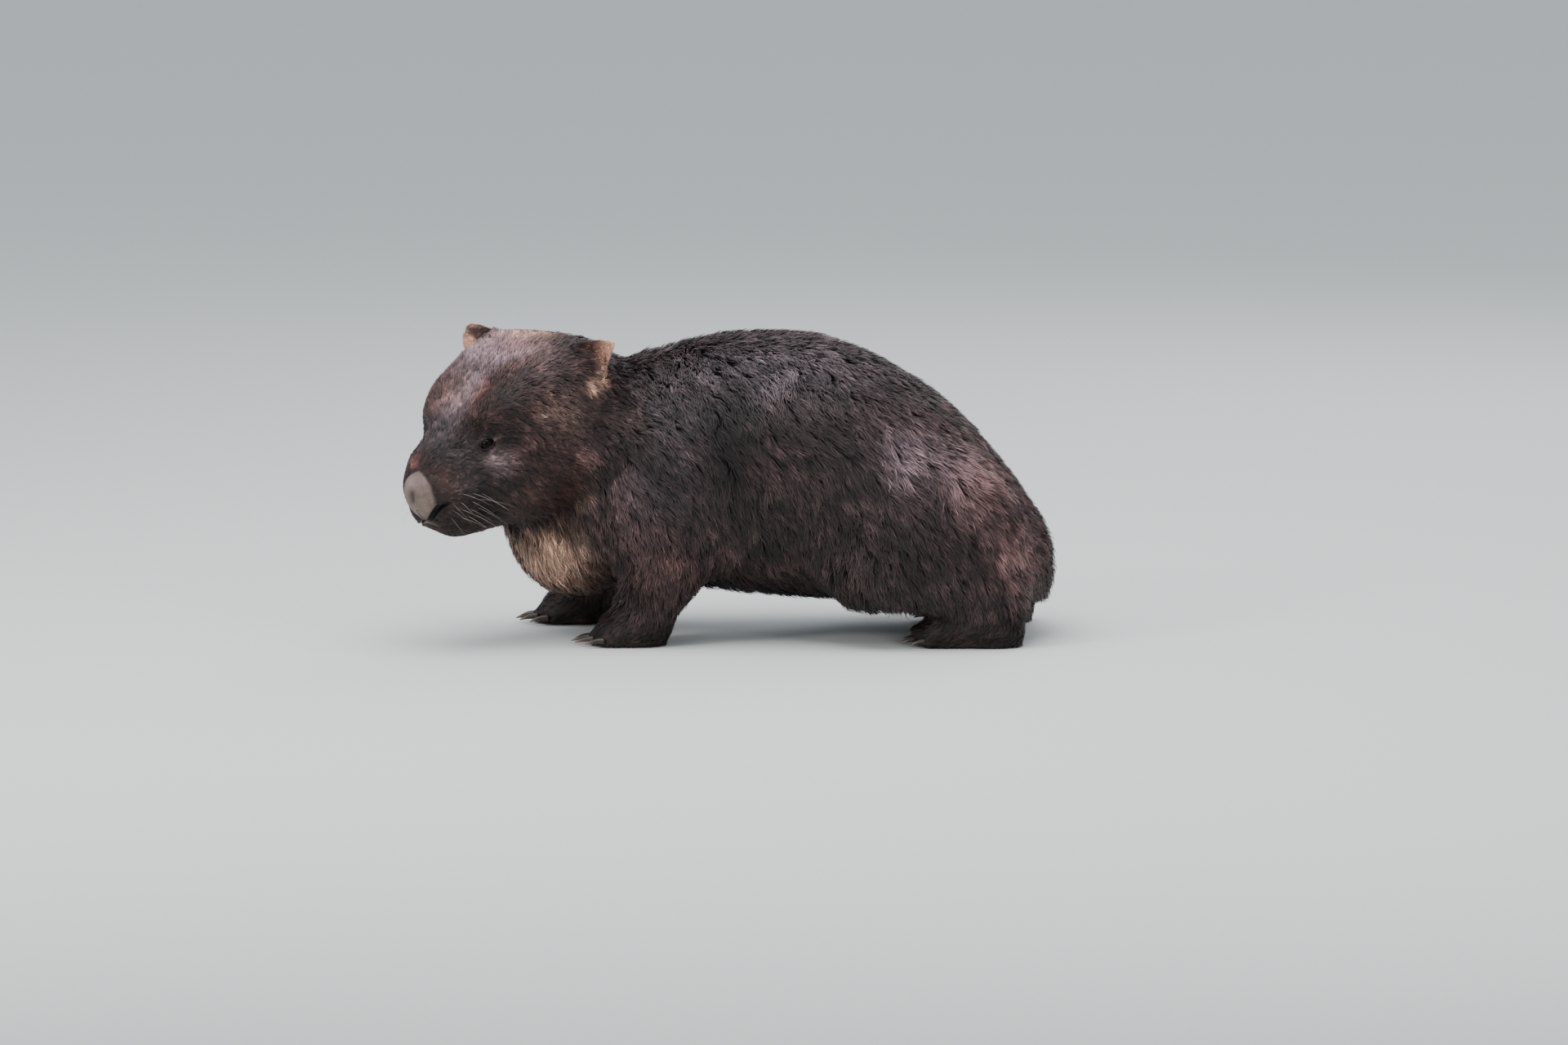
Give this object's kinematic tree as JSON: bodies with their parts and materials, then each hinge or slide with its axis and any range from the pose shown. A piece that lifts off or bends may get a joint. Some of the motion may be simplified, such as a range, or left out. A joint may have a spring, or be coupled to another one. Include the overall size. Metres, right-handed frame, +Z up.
{
  "type": "wombat",
  "caption": "Life-size still model of an adult common wombat standing hunched on all four feet, head lowered and turned to its left.",
  "frame": {"origin": "on the floor, under the middle of the animal's box", "axes": "-X is where the body faces and +X the rump, +Y the animal's right side and -Y its left, +Z up"},
  "size_m": [0.6874, 0.3336, 0.3398],
  "materials": {
    "fur": "coarse dark brown fur",
    "nose_skin": "bare pebbled skin, grey-brown",
    "claw": "dull dark horn",
    "eye": "wet and glossy, near black"
  },
  "bodies": {
    "root": {"ear_left": "fur", "ear_right": "fur", "eye_left": "eye", "eye_right": "eye", "fore_claw_left_1": "claw", "fore_claw_left_2": "claw", "fore_claw_left_3": "claw", "fore_claw_left_4": "claw", "fore_claw_left_5": "claw", "fore_claw_right_1": "claw", "fore_claw_right_2": "claw", "fore_claw_right_3": "claw", "fore_claw_right_4": "claw", "fore_claw_right_5": "claw", "forefoot_left": "fur", "forefoot_right": "fur", "foreleg_left": "fur", "foreleg_right": "fur", "head": "fur", "hind_claw_left_1": "claw", "hind_claw_left_2": "claw", "hind_claw_left_3": "claw", "hind_claw_left_4": "claw", "hind_claw_right_1": "claw", "hind_claw_right_2": "claw", "hind_claw_right_3": "claw", "hind_claw_right_4": "claw", "hind_foot_left": "fur", "hind_foot_right": "fur", "hind_leg_left": "fur", "hind_leg_right": "fur", "neck": "fur", "nose_pad": "nose_skin", "tail": "fur", "torso": "fur"}
  },
  "joints": []
}
